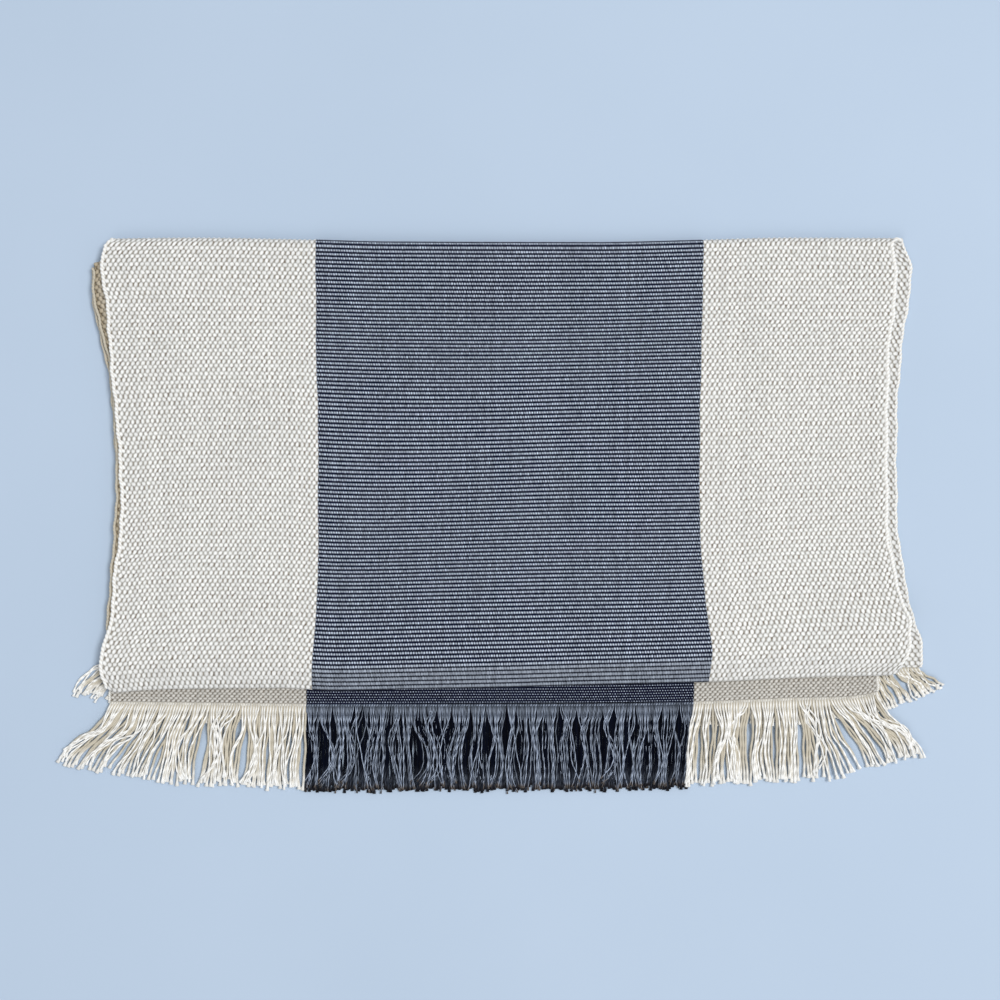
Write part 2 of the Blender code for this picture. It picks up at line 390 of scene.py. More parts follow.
class Graph:
    """A material that is being wired up around one Principled shader."""

    def __init__(self, name: str) -> None:
        """Starts a material of that name.

        Args:
            name: The material's name.
        """
        self.material = bpy.data.materials.new(name)
        self.material.use_nodes = True
        self.tree = self.material.node_tree
        self.shader = self.tree.nodes["Principled BSDF"]

    def node(self, kind: str, settings: dict, inputs: dict, output: Union[int, str] = 0) -> Varying:
        """Adds any node.

        Args:
            kind: The node's type.
            settings: Its properties, which are set first.
            inputs: Values or links, by socket name or number.
            output: Which output to take.

        Returns:
            That output.
        """
        made = self.tree.nodes.new(kind)
        for key, value in settings.items():
            setattr(made, key, value)
        for key, value in inputs.items():
            if isinstance(value, Varying):
                self.tree.links.new(value.socket, made.inputs[key])
            else:
                made.inputs[key].default_value = value
        return Varying(self, made.outputs[output])

    def pattern(self) -> tuple[Varying, Varying]:
        """The piece's own pattern coordinates, across and along.

        Returns:
            The two coordinates.
        """
        uv = self.node("ShaderNodeUVMap", {"uv_map": "pattern"}, {})
        across = self.node("ShaderNodeSeparateXYZ", {}, {0: uv}, "X")
        along = self.node("ShaderNodeSeparateXYZ", {}, {0: uv}, "Y")
        return across, along

    def painted_shade(self) -> Varying:
        """How much painted shade the point takes, from 0 to 1."""
        return self.node("ShaderNodeAttribute", {"attribute_name": "painted_shade"}, {}, "Fac")

    def point(self, across: Number, along: Number) -> Varying:
        """A vector from two numbers."""
        return self.node("ShaderNodeCombineXYZ", {}, {0: across, 1: along})

    def place(self) -> Varying:
        """The point on the object, in metres."""
        return self.node("ShaderNodeTexCoord", {}, {}, "Object")

    def noise(self, at: Varying, scale: float, detail: float = 2.0) -> Varying:
        """Smooth noise around 0, about half a unit each way."""
        return self.node("ShaderNodeTexNoise", {}, {"Vector": at, "Scale": scale, "Detail": detail}) - 0.5

    def chance(self, at: Varying) -> Varying:
        """An even random number, from -0.5 to 0.5, for each distinct point."""
        return self.node("ShaderNodeTexWhiteNoise", {"noise_dimensions": "2D"}, {"Vector": at}) - 0.5

    def eased(self, value: Varying, low: float, high: float) -> Varying:
        """0 below low, 1 above high and a smooth step between."""
        limits = {"Value": value, "From Min": low, "From Max": high}
        return self.node("ShaderNodeMapRange", {"interpolation_type": "SMOOTHSTEP"}, limits)

    def mix(self, share: Number, first: object, second: object) -> Varying:
        """A colour between two colours.

        Args:
            share: How much of the second there is.
            first: A colour, fixed or varying.
            second: Another.

        Returns:
            The colour between.
        """
        colours = [value if isinstance(value, Varying) else (*value, 1.0) for value in (first, second)]
        inputs = {0: share, 6: colours[0], 7: colours[1]}
        return self.node("ShaderNodeMix", {"data_type": "RGBA"}, inputs, 2)

    def scaled(self, colour: Varying, factor: Varying) -> Varying:
        """A colour made lighter or darker."""
        return self.node("ShaderNodeVectorMath", {"operation": "SCALE"}, {0: colour, "Scale": factor})

    def tinted(self, colour: Varying, tint: Colour) -> Varying:
        """A colour seen through a tint."""
        return self.node("ShaderNodeVectorMath", {"operation": "MULTIPLY"}, {0: colour, 1: tint})

    def finish(self, colour: Varying, height: Varying, depth: float, fixed: dict) -> bpy.types.Material:
        """Wires the shader.

        Args:
            colour: The base colour.
            height: The relief, about 0 to 1.
            depth: How deep a relief of 1 is.
            fixed: Values that are the same all over, by socket name.

        Returns:
            The finished material.
        """
        bump = self.node("ShaderNodeBump", {}, {"Strength": 1.0, "Distance": depth, "Height": height})
        self.tree.links.new(colour.socket, self.shader.inputs["Base Color"])
        self.tree.links.new(bump.socket, self.shader.inputs["Normal"])
        for key, value in fixed.items():
            self.shader.inputs[key].default_value = value
        return self.material


# ---- Finishes --------------------------------------------------------


@dataclass(frozen=True)
class FloatShape:
    """The oval that shows where a warp yarn floats over a pick, in ends across and picks along."""

    half_width: float
    half_length: float
    lean: float = 0.0

    def mask(self, graph: Graph, ends: Varying, picks: Varying, phase: float) -> Varying:
        """A dome on every second end of every second pick.

        Args:
            graph: The material.
            ends: The place across, with each end's middle at a whole number.
            picks: The place along, with each pick's middle at a whole number.
            phase: 0 for the even ends and picks, 1 for the odd ones.

        Returns:
            1 in the middle of a float, falling through 0 at its rim.
        """
        x = ((ends + phase) / 2 + 0.5).fraction() * 2 - 1
        y = ((picks + phase) / 2 + 0.5).fraction() * 2 - 1
        across = (x - y * self.lean) / self.half_width
        along = y / self.half_length
        return 1 - across * across - along * along


@dataclass(frozen=True)
class WeaveFinish:
    """Warp floats over a hidden weft: what a band of the web shows.

    A float goes from yarn at its sides to tip on its crown, a painted highlight that with the darker sides
    paints the float's roundness in light and shade, and the gaps between floats are painted shade, with
    darker specks at random. Rim is how much of a float's dome is its darker edge. Jitter moves the floats,
    tone varies their brightness and uneven their size. Round the front fold the gaps fill by fold_fill and
    the floats darken to fold_shade, painted shade where the cloth turns down round the fold. In the heading,
    which lies under the front fold, they darken to heading_shade as painted shade, with wider gaps. At the
    inner runs' left edge and in the heading the colour takes a painted shade tint.
    """

    name: str
    yarn: Colour
    tip: Colour
    hollow: Colour
    speck: Colour
    painted_shade_tint: Colour
    even_float: FloatShape
    odd_float: FloatShape
    rim: float
    jitter: float
    tone: float
    relief: float
    uneven: float
    fold_fill: float
    fold_shade: float
    heading_shade: float
    heading_gap: float
    sheen: float

    def make(self, fold_from: float, fold_to: float, heading_from: float) -> bpy.types.Material:
        """Builds the material.

        Args:
            fold_from: The pick where the cloth starts to stretch round the front fold.
            fold_to: The pick where it's fully stretched.
            heading_from: The pick where the close-set heading at the upper end starts.

        Returns:
            The finished material.
        """
        graph = Graph(self.name)
        across, along = graph.pattern()
        drift = graph.noise(graph.point(across, along), 0.35) * self.jitter
        wobble = graph.noise(graph.point(along, across), 1.1) * self.jitter
        ends = across - 0.5 + drift
        picks = along + wobble * 0.6
        even = self.even_float.mask(graph, ends, picks, 0.0)
        odd = self.odd_float.mask(graph, ends, picks, 1.0)
        uneven = graph.noise(graph.point(ends, picks), 0.8, 1.0) * self.uneven
        heading = graph.eased(along, heading_from - 1.0, heading_from)
        fold = graph.eased(along, fold_from, fold_to) * (1 - heading)
        gap = heading * self.heading_gap
        dome = ((even.or_more(odd) + uneven + fold * self.fold_fill - gap) / (1 - gap)).or_more(0.0)
        fibre = graph.noise(graph.point(across * 7 + along * 3, along * 4), 1.0, 3.0)
        cell = graph.chance(graph.point((ends + 0.5).whole(), (picks + 0.5).whole()))
        streak = graph.chance(graph.point((ends + 0.5).whole(), 0.0))
        speck = graph.chance(graph.point(ends.whole(), picks.whole()))
        slow = graph.noise(graph.place(), 14.0, 3.0)
        cover = graph.eased(dome, 0.0, self.rim)
        # Painted light and shade: each float is lighter on its crown and darker at its sides.
        body = graph.mix(graph.eased(dome + fibre * 0.3, 0.35, 1.0), self.yarn, self.tip)
        # Painted shade: the gaps between floats are dark, with darker specks at random.
        hollow = graph.mix(graph.eased(speck, 0.1, 0.5), self.hollow, self.speck)
        colour = graph.mix(cover, hollow, body)
        # Painted shade: tinted by the stored amount, at the inner runs' left edge and in the heading.
        colour = graph.mix(graph.painted_shade(), colour, graph.tinted(colour, self.painted_shade_tint))
        shade = 1 + (cell + streak * 0.5 + fibre) * self.tone + slow * 0.12
        # Painted shade: the heading under the front fold darkens by heading_shade, and the cloth round the
        # front fold by fold_shade.
        shade = shade * (1 - heading * (1 - self.heading_shade)) * (1 - fold * (1 - self.fold_shade))
        height = (dome ** 0.5) + fibre * 0.12
        fixed = {"Roughness": 0.93, "Specular IOR Level": self.sheen, "Sheen Weight": self.sheen}
        return graph.finish(graph.scaled(colour, shade), height, self.relief, fixed)


@dataclass(frozen=True)
class TwistFinish:
    """Plied yarn: light bands, and dark bands of painted shade in the grooves between plies, that wind round
    each strand.

    Yarn that lies hidden under other yarn takes a painted shade colour, and the cut colour is on the end
    faces. Plies is how many bands run side by side, and tone how much strands and fibres differ.
    """

    name: str
    yarn: Colour
    shade: Colour
    painted_shade: Colour
    cut: Colour
    plies: float
    tone: float
    relief: float
    sheen: float

    def make(self) -> bpy.types.Material:
        """Builds the material.

        Returns:
            The finished material.
        """
        graph = Graph(self.name)
        across, along = graph.pattern()
        twist = (across * self.plies + along).wave() * 0.5 + 0.5
        hairs = graph.noise(graph.point(across * 9 + along * 2.5, along * 3), 1.0, 3.0)
        strand = graph.chance(graph.point(across.whole(), 3.0))
        # Painted shade: the shade colour darkens the grooves between the plies.
        lit = graph.mix(graph.eased(twist + hairs * 0.5, 0.0, 0.75), self.shade, self.yarn)
        lit = graph.mix(graph.eased(along, 8.3, 8.9), lit, self.cut)
        # Painted shade: hidden yarn is mixed towards its dark colour by the stored amount.
        colour = graph.mix(graph.painted_shade(), lit, self.painted_shade)
        shade = 1 + strand * self.tone + hairs * self.tone * 0.7
        fixed = {"Roughness": 0.95, "Specular IOR Level": self.sheen, "Sheen Weight": self.sheen}
        return graph.finish(graph.scaled(colour, shade), twist + hairs * 0.3, self.relief, fixed)


@dataclass(frozen=True)
class FloorFinish:
    """A plain pale floor, very slightly clouded."""

    name: str
    colour: Colour
    cloud: Colour

    def make(self) -> bpy.types.Material:
        """Builds the material.

        Returns:
            The finished material.
        """
        graph = Graph(self.name)
        cloud = graph.noise(graph.place(), 3.0, 4.0)
        colour = graph.mix(graph.eased(cloud, -0.6, 0.6), self.colour, self.cloud)
        return graph.finish(colour, cloud, 0.0, {"Roughness": 0.8})


# In both weaves the crown colour is a painted highlight on each float, the gap colours are painted shade
# between the floats, the tint is painted shade for the inner runs' left edge and the heading, and the heading
# and fold darkening are painted shade.
CREAM_WEAVE = WeaveFinish(
    name="cream_weave",
    yarn=(0.65, 0.64, 0.61),
    tip=(0.9, 0.895, 0.875),
    hollow=(0.36, 0.33, 0.28),
    speck=(0.17, 0.13, 0.09),
    painted_shade_tint=(0.74, 0.62, 0.44),
    even_float=FloatShape(0.96, 0.62),
    odd_float=FloatShape(0.84, 0.74, -0.25),
    rim=0.4,
    jitter=0.75,
    tone=0.14,
    relief=0.0005,
    uneven=0.6,
    fold_fill=0.06,
    fold_shade=0.91,
    heading_shade=0.75,
    heading_gap=0.0,
    sheen=0.14,
)
SLATE_WEAVE = WeaveFinish(
    name="slate_weave",
    yarn=(0.12, 0.145, 0.19),
    tip=(0.525, 0.585, 0.695),
    hollow=(0.007, 0.009, 0.026),
    speck=(0.002, 0.003, 0.01),
    painted_shade_tint=(0.8, 0.84, 0.92),
    even_float=FloatShape(1.12, 0.41, 0.5),
    odd_float=FloatShape(1.12, 0.41, 0.5),
    rim=0.6,
    jitter=0.5,
    tone=0.5,
    relief=0.0005,
    uneven=0.4,
    fold_fill=0.45,
    fold_shade=0.53,
    heading_shade=1.0,
    heading_gap=0.62,
    sheen=0.03,
)
# In both twists the shade colour is painted shade in the ply grooves, and the darkest colour is painted shade
# for hidden yarn.
CREAM_TWIST = TwistFinish(
    name="cream_twist",
    yarn=(0.96, 0.955, 0.93),
    shade=(0.8, 0.77, 0.71),
    painted_shade=(0.58, 0.53, 0.43),
    cut=(0.92, 0.92, 0.9),
    plies=2.0,
    tone=0.14,
    relief=0.0002,
    sheen=0.14,
)
SLATE_TWIST = TwistFinish(
    name="slate_twist",
    yarn=(0.38, 0.435, 0.53),
    shade=(0.06, 0.078, 0.12),
    painted_shade=(0.002, 0.003, 0.008),
    cut=(0.1, 0.085, 0.075),
    plies=2.0,
    tone=0.9,
    relief=0.0001,
    sheen=0.02,
)


# ---- The web's route -------------------------------------------------


@dataclass
class WebRoute:
    """Where the web lies, from its under end to its upper end.

    Runs are measured forward from the back line. The lines across the web are small departures, by
    place across, from the straight lines of the CAD frame. The sides and borders are X, by journey.

    A closed bend squeezes its cloth, so the middle of the inner bend holds tucked_picks more picks, within
    tuck_reach, and neither bend has rows within its row gap. From painted_shade_from on, where the inner runs
    look out at the left from under the top run, the web takes painted shade across painted_shade_share,
    fading over painted_shade_fade. The heading at the upper end starts at heading_from, and takes painted
    shade by heading_painted_shade, where it lies under the front fold.
    """

    cloth: float = 0.0026
    front_reach: float = 0.0078
    front_puff: float = 0.0016
    inner_reach: float = 0.003
    end_droop: float = 0.0006
    tucked_picks: float = 6.0
    tuck_reach: float = 0.01
    inner_row_gap: float = 0.08
    outer_row_gap: float = 0.05
    run_ripple: float = 0.0007
    top_ripple: float = 0.0004
    back_puff: float = 0.0009
    edge_waver: float = 0.0004
    edge_step: float = 0.0003
    border_waver: float = 0.0002
    heading_from: float = 6.93
    # Painted shade where the inner runs look out at the left, and in the heading under the front fold.
    painted_shade_from: float = 3.7
    painted_shade_share: float = 0.014
    painted_shade_fade: float = 0.026
    heading_painted_shade: float = 0.25
    border_shares: tuple[float, float] = (0.264, 0.7565)
    back_line: Knots = (
        (0, 0.0007), (0.1, 0.0), (0.25, 0.0014), (0.36, 0.003), (0.62, 0.0034), (0.76, 0.0016),
        (0.86, 0.0), (1, 0.0004),
    )
    front_line: Knots = (
        (0, 0.0068), (0.012, 0.0098), (0.05, 0.0081), (0.13, 0.0068), (0.22, 0.0064), (0.29, 0.0082),
        (0.4, 0.007), (0.5, 0.0058), (0.6, 0.0041), (0.7, 0.0027), (0.775, 0.0014),
        (0.85, -0.0008), (0.92, -0.0023), (0.985, -0.003), (0.995, -0.0046), (1, -0.0085),
    )
    inner_line: Knots = (
        (0, 0.0212), (0.004, 0.0182), (0.01, 0.0165), (0.03, 0.014), (0.08, 0.009), (1, 0.0072),
    )
    upper_end_line: Knots = (
        (0, 0.0), (0.15, 0.001), (0.3, 0.0018), (0.6, 0.0015), (0.75, 0.0002), (0.9, -0.003),
        (0.95, -0.0036), (0.98, -0.0052), (1, -0.0078),
    )
    under_end_line: Knots = ((0, -0.009), (0.06, -0.005), (0.15, 0.0), (0.6, 0.001), (1, 0.0025))
    left_side: Knots = (
        (0, -0.29), (0.5, -0.288), (1, -0.289), (1.5, -0.2915), (2.0, -0.2965), (2.03, -0.2995),
        (2.13, -0.2955), (2.3, -0.2912), (2.45, -0.2866), (2.62, -0.2843), (2.8, -0.2906),
        (2.87, -0.2915), (2.91, -0.2965), (2.96, -0.2996), (3.0, -0.2988), (3.5, -0.296),
        (4.0, -0.2975), (4.5, -0.289), (4.75, -0.2935), (4.96, -0.3066), (5.5, -0.3078),
        (6.03, -0.308), (6.28, -0.2935), (6.55, -0.289), (6.8, -0.293), (7, -0.2955),
    )
    right_side: Knots = (
        (0, 0.3188), (0.05, 0.3202), (0.11, 0.3138), (0.156, 0.3096), (0.2, 0.3077), (0.25, 0.3048),
        (0.295, 0.3021), (0.34, 0.3009), (0.48, 0.3001), (0.62, 0.3007), (0.714, 0.303),
        (0.76, 0.3045), (0.81, 0.306), (0.85, 0.3083), (0.9, 0.3108), (0.945, 0.3118), (0.965, 0.3104),
        (0.985, 0.308), (1.0, 0.306), (1.4, 0.3032),
        (1.7, 0.2985), (2.0, 0.2952), (2.06, 0.297), (2.16, 0.2962), (2.22, 0.2925),
        (2.5, 0.2906), (2.72, 0.2912), (2.78, 0.296), (2.86, 0.301), (2.92, 0.3084),
        (2.97, 0.308), (3.0, 0.306), (3.5, 0.3005), (4, 0.303), (4.5, 0.288), (5, 0.2868),
        (6, 0.2868), (6.5, 0.285), (7, 0.2855),
    )
    left_border: Knots = (
        (0, -0.139), (1, -0.1386), (2, -0.1384), (2.3, -0.138), (2.38, -0.1366), (2.75, -0.1366),
        (2.82, -0.1378), (2.9, -0.1395), (3, -0.1412), (4, -0.141), (5, -0.139), (6, -0.14),
        (7, -0.1463),
    )
    right_border: Knots = (
        (0, 0.15), (1, 0.1515), (2, 0.1528), (2.2, 0.1516), (2.45, 0.15), (2.6, 0.1498),
        (2.72, 0.1512), (2.82, 0.154), (2.9, 0.1572), (2.96, 0.1592), (3, 0.158), (4, 0.156),
        (5, 0.152), (6, 0.151), (7, 0.1462),
    )
    pick_spacing: Knots = (
        (0, 0.0031), (1.9, 0.003), (2.1, 0.003), (2.22, 0.0028), (2.36, 0.0031), (2.55, 0.003),
        (2.75, 0.0029), (2.89, 0.0032), (3.2, 0.003), (4, 0.003), (6.93, 0.003), (6.965, 0.0021),
        (7, 0.0019),
    )
    heights: list[float] = field(init=False)
    turns: dict[int, Turn] = field(init=False)
    pick_table: tuple[np.ndarray, np.ndarray] = field(init=False)
    length_table: np.ndarray = field(init=False)

    def __post_init__(self) -> None:
        """Takes the heights and lines of the web from the CAD frame."""
        layers = ("lower_outer", "upper_outer", "upper_inner", "lower_inner")
        boxes = {name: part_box(f"{name}_slate_middle") for name in layers}
        self.heights = [(boxes[name][0].z + boxes[name][1].z) / 2 for name in layers]
        self.back_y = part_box("outer_back_fold_slate_middle")[1].y
        self.leaf = self.back_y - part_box("front_fold_slate_middle")[0].y
        self.under_end = self.back_y - boxes["lower_outer"][0].y
        self.upper_end = self.back_y - boxes["lower_inner"][0].y
        lowest, highest, high, low = self.heights
        self.split_height = (low + high) / 2
        self.turns = {
            1: Turn((highest - lowest) / 2, (highest - lowest) / 2),
            3: Turn(self.front_reach, (highest + self.front_puff - high) / 2),
            5: Turn(self.inner_reach, (high - low) / 2),
        }
        journey = np.linspace(0, 7, 1401)
        y, z = self.line(np.array([0.5]), np.minimum(journey, 7 - 1e-9))
        steps = np.hypot(np.diff(y[:, 0]), np.diff(z[:, 0]))
        spacing = through(self.pick_spacing, (journey[1:] + journey[:-1]) / 2)
        tucked = self.tucked_picks * smooth((journey - INNER_BEND + self.tuck_reach) / (2 * self.tuck_reach))
        self.pick_table = (journey, np.concatenate([[0.0], np.cumsum(steps / spacing)]) + tucked)
        self.length_table = np.concatenate([[0.0], np.cumsum(steps)])

    def _stations(self, share: np.ndarray) -> dict[str, np.ndarray]:
        """The runs of the web's fold centres and ends, at places across.

        Args:
            share: Places across.

        Returns:
            The runs, by the name of the fold or end.
        """
        half = self.cloth / 2
        return {
            "under": self.under_end + through(self.under_end_line, share),
            "back": through(self.back_line, share) + self.turns[1].reach + half,
            "front": self.leaf + through(self.front_line, share) - self.turns[3].reach - half,
            "inner": through(self.inner_line, share) + self.turns[5].reach + half,
            "upper": self.upper_end + through(self.upper_end_line, share),
        }

    def _lift(self, share: np.ndarray, part: np.ndarray) -> np.ndarray:
        """How far the top run stands off its layer, where the cloth is a little puffed.

        Args:
            share: Places across.
            part: Shares of the run, from back to front.

        Returns:
            Heights, with a row for each place along and a column for each place across.
        """
        waves = np.sin(math.tau * (2.1 * share + 1.3 * part)) + 0.6 * np.sin(math.tau * (3.7 * share - part))
        at_back = self.back_puff * np.exp(-(((part - 0.06) / 0.05) ** 2))
        ends = smooth(part / 0.05) * smooth((1 - part) / 0.06)
        return ends * (self.top_ripple * waves + at_back) + self.front_puff * smooth((part - 0.86) / 0.14)

    def line(self, share: np.ndarray, journey: np.ndarray) -> tuple[np.ndarray, np.ndarray]:
        """The middle of the cloth.

        Args:
            share: Places across.
            journey: Places along.

        Returns:
            Y and Z, with a row for each place along and a column for each place across.
        """
        at = self._stations(share)
        lowest, highest, high, low = self.heights
        run = np.zeros((len(journey), len(share)))
        z = np.zeros_like(run)
        number = np.clip(np.floor(journey).astype(int), 0, 6)
        flats = {0: ("under", "back", lowest), 2: ("back", "front", highest),
                 4: ("front", "inner", high), 6: ("inner", "upper", low)}
        for key, (start, stop, height) in flats.items():
            rows = number == key
            part = (journey[rows] - key)[:, None]
            ripple = np.sin(math.tau * (2.3 * share + 0.7 * part)) * np.sin(math.pi * part)
            run[rows] = at[start] * (1 - part) + at[stop] * part + self.run_ripple * ripple
            z[rows] = height + (self._lift(share, part) if key == 2 else 0)
        puffed = highest + self.front_puff
        turns = {1: ("back", -1, lowest, highest), 3: ("front", 1, puffed, high), 5: ("inner", -1, high, low)}
        for key, (centre, way, start, stop) in turns.items():
            rows = number == key
            angle = self.turns[key].angle(journey[rows] - key)[:, None]
            run[rows] = at[centre] + way * self.turns[key].reach * np.sin(angle)
            z[rows] = (start + stop) / 2 + (start - stop) / 2 * np.cos(angle)
        droop = smooth((run - self.leaf) / (self.upper_end - self.leaf)) * self.end_droop
        z -= np.where((number == 6)[:, None], droop, 0)
        return self.back_y - run, z

    def across(self, share: np.ndarray, journey: np.ndarray) -> np.ndarray:
        """How far to the right the web lies.

        Args:
            share: Places across.
            journey: Places along.

        Returns:
            X, with a row for each place along and a column for each place across.
        """
        pick = self.pick_at(journey)
        marks = [through(line, journey) for line in
                 (self.left_side, self.left_border, self.right_border, self.right_side)]
        marks[0] += self.edge_waver * np.sin(pick / 1.9) + self.edge_step * np.sin(pick / 0.83 + 1)
        marks[3] += self.edge_waver * np.sin(pick / 2.3 + 2) + self.edge_step * np.sin(pick / 0.9)
        marks[1] += self.border_waver * np.sin(pick / 3.1)
        marks[2] += self.border_waver * np.sin(pick / 2.7)
        shares = (0.0, *self.border_shares, 1.0)
        return np.array([np.interp(share, shares, row) for row in np.array(marks).T])

    def surface(self, share: np.ndarray, journey: np.ndarray, off: np.ndarray) -> np.ndarray:
        """Points on or off the middle of the cloth.

        Args:
            share: Places across.
            journey: Places along.
            off: How far off, towards the side that faces outwards where the web lies on the outside.

        Returns:
            Points, with a row for each place along and a column for each place across.
        """
        step = 2e-3
        y, z = self.line(share, journey)
        y_before, z_before = self.line(share, np.clip(journey - step, 0, 7))
        y_after, z_after = self.line(share, np.clip(journey + step, 0, 7 - 1e-9))
        away = np.stack([z_after - z_before, y_before - y_after])
        away /= np.maximum(np.hypot(*away), 1e-12)
        return np.stack([self.across(share, journey), y + away[0] * off, z + away[1] * off], axis=-1)

    def depth(self, share: np.ndarray, journey: np.ndarray) -> np.ndarray:
        """How much painted shade the web takes: fully at its inner runs' left edge, less in its heading.

        Args:
            share: Places across.
            journey: Places along.

        Returns:
            Shares, with a row for each place along and a column for each place across.
        """
        # Painted shade for the inner runs where they look out at the left from under the top run, and for the
        # heading under the front fold.
        inner = smooth((journey - self.painted_shade_from) / 0.3)[:, None]
        heading = smooth((journey - self.heading_from) / 0.03)[:, None]
        edge = 1 - smooth((share - self.painted_shade_share) / self.painted_shade_fade)
        return inner * (edge * (1 - heading) + self.heading_painted_shade * heading)

    def pick_at(self, journey: np.ndarray) -> np.ndarray:
        """The number of picks woven before a place along."""
        return np.interp(journey, *self.pick_table)

    def length_to(self, journey: float) -> float:
        """The length of the web before a place along, at its middle."""
        return float(np.interp(journey, self.pick_table[0], self.length_table))

    def rows(self, start: float, stop: float, per_pick: dict[int, int]) -> np.ndarray:
        """Places along, a whole number to each pick.

        Args:
            start: Where the rows start.
            stop: Where they stop.
            per_pick: How many rows a pick gets in each part of the journey.

        Returns:
            The places, in order, with both ends.
        """
        found = [np.array([start])]
        for number in range(7):
            first, last = self.pick_at(np.array([number, number + 1.0]))
            picks = np.arange(math.ceil(first * per_pick[number]), last * per_pick[number]) / per_pick[number]
            places = np.interp(picks, *self.pick_table[::-1])
            places = places[np.abs(places - INNER_BEND) > self.inner_row_gap]
            places = places[np.abs(places - OUTER_BEND) > self.outer_row_gap]
            found.append(places[(places > start + 2e-4) & (places < stop - 2e-4)])
        return np.concatenate([*found, [stop]])


# ---- The web's bands and cords ---------------------------------------


@dataclass(frozen=True)
class Band:
    """One warp band of the web.

    Left and right are places across, ends its warp ends and columns the faces across them. Per_pick is
    how many rows of faces a pick gets in each part of the journey.
    """

    name: str
    left: float
    right: float
    ends: int
    columns: int
    relief: float
    ribbed: bool
    weave: WeaveFinish
    twist: TwistFinish
    tint: str
    per_pick: dict[int, int]

    def relief_at(self, end: np.ndarray, pick: np.ndarray) -> np.ndarray:
        """How far the weave stands out: staggered floats, or ribs along the weft.

        Args:
            end: Places across, counted in warp ends.
            pick: Places along, counted in picks.

        Returns:
            Heights over the cloth's face.
        """
        if self.ribbed:
            return self.relief * (np.abs(np.cos(math.pi * pick)) * 2 - 1) + 0 * end
        return self.relief * np.cos(math.pi * (end - 0.5)) * np.cos(math.pi * pick)


@dataclass
class BandCloth:
    """The cloth of one band, as two closed skins that meet inside the fold.

    Inside a back fold the cloth closes up, within tight_pinch or wide_pinch of the bend's middle, and
    only slides along by the share pinch_slide there. Past the tight pinch the weave's relief comes back
    over relief_return. The cloth is thinner by the share thinning, less and less up to thin_reach. The
    skins meet at split, with a seam between them, and a cream band's sides are scalloped.
    """

    route: WebRoute
    band: Band
    back_columns: int = 8
    half_thickness: float = 0.0011
    split: float = 4.06
    seam: float = 0.0004
    scallop: float = 0.0006
    tight_pinch: float = 0.2
    wide_pinch: float = 0.105
    pinch_slide: float = 0.05
    relief_return: float = 0.2
    thinning: float = 0.3
    thin_reach: float = 0.6

    def _across(self) -> tuple[np.ndarray, np.ndarray]:
        """Places across for a way round the cloth, and which of them are on its far side.

        Returns:
            Places across, and True for those on the far side.
        """
        face = np.linspace(self.band.left, self.band.right, self.band.columns + 1)
        back = np.linspace(self.band.right, self.band.left, self.back_columns + 1)
        share = np.concatenate([face, back, face[:1]])
        far = np.concatenate([0 * face, 0 * back + 1, [0]]).astype(bool)
        return share, far

    def _pinched(self, journey: np.ndarray, middle: float, reach: float) -> np.ndarray:
        """Places along, held back from the middle of a bend, where the inside of the cloth closes up.

        Args:
            journey: Places along.
            middle: The middle of the bend.
            reach: How far from it places are held back.

        Returns:
            The places along to use instead.
        """
        side = journey - middle
        held = middle + np.sign(side) * ((1 - self.pinch_slide) * reach + self.pinch_slide * np.abs(side))
        return np.where(np.abs(side) < reach, held, journey)

    def _skin(self, name: str, start: float, stop: float) -> bpy.types.Mesh:
        """The closed skin of a stretch of the journey.

        Args:
            name: The mesh's name.
            start: Where the stretch starts.
            stop: Where it stops.

        Returns:
            The skin.
        """
        share, far = self._across()
        journey = self.route.rows(start, stop, self.band.per_pick)
        pick = self.route.pick_at(journey)[:, None]
        end = ((share - self.band.left) / (self.band.right - self.band.left) * self.band.ends)[None, :]
        from_bend = np.abs(journey - INNER_BEND)[:, None]
        relief = self.band.relief_at(end, pick) * smooth((from_bend - self.tight_pinch) / self.relief_return)
        thin = 1 - self.thinning * smooth(1 - from_bend / self.thin_reach)
        off = np.where(far, -self.half_thickness, (self.half_thickness + relief) * thin)
        face = self.route.surface(share, self._pinched(journey, INNER_BEND, self.tight_pinch), off)
        back = self.route.surface(share, self._pinched(journey, OUTER_BEND, self.wide_pinch), off)
        points = np.where(far[None, :, None], back, face)
        scallop = self.scallop * np.abs(np.cos(math.pi * pick))
        if not self.band.ribbed:
            points[:, :, 0] += np.where(share == self.band.right, scallop, 0)
            points[:, :, 0] -= np.where(share == self.band.left, scallop, 0)
        uvs = np.stack(np.broadcast_arrays(end, pick), axis=-1)
        return wrapped_grid(name, points, uvs, self.route.depth(share, journey))

    def build(self, finish: bpy.types.Material) -> dict[Stretch, bpy.types.Object]:
        """Makes both skins.

        Args:
            finish: The band's weave.

        Returns:
            The pieces, by stretch.
        """
        limits = {Stretch.OUTER: (WEB_START, self.split), Stretch.INNER: (self.split + self.seam, WEB_STOP)}
        pieces = {}
        for stretch, (start, stop) in limits.items():
            mesh = self._skin(f"web_{stretch.value}_{self.band.name}", start, stop)
            pieces[stretch] = show(mesh, finish)
        runs = {
            Stretch.OUTER: ("lower_outer", "outer_back_fold", "upper_outer", "front_fold"),
            Stretch.INNER: ("upper_inner", "inner_back_fold", "lower_inner"),
        }
        for stretch, names in runs.items():
            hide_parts(*(f"{name}_{self.band.name}" for name in names))
        return pieces

    def flat_size(self, stretch: Stretch) -> tuple[float, float]:
        """The width and length that a stretch was woven to.

        Args:
            stretch: Which of the two.

        Returns:
            The width and the length.
        """
        edges = self.route.across(np.array([self.band.left, self.band.right]), np.array([2.5]))
        outer = self.route.length_to(self.split)
        length = outer if stretch is Stretch.OUTER else self.route.length_to(7.0) - outer
        return float(np.ptp(edges)), length


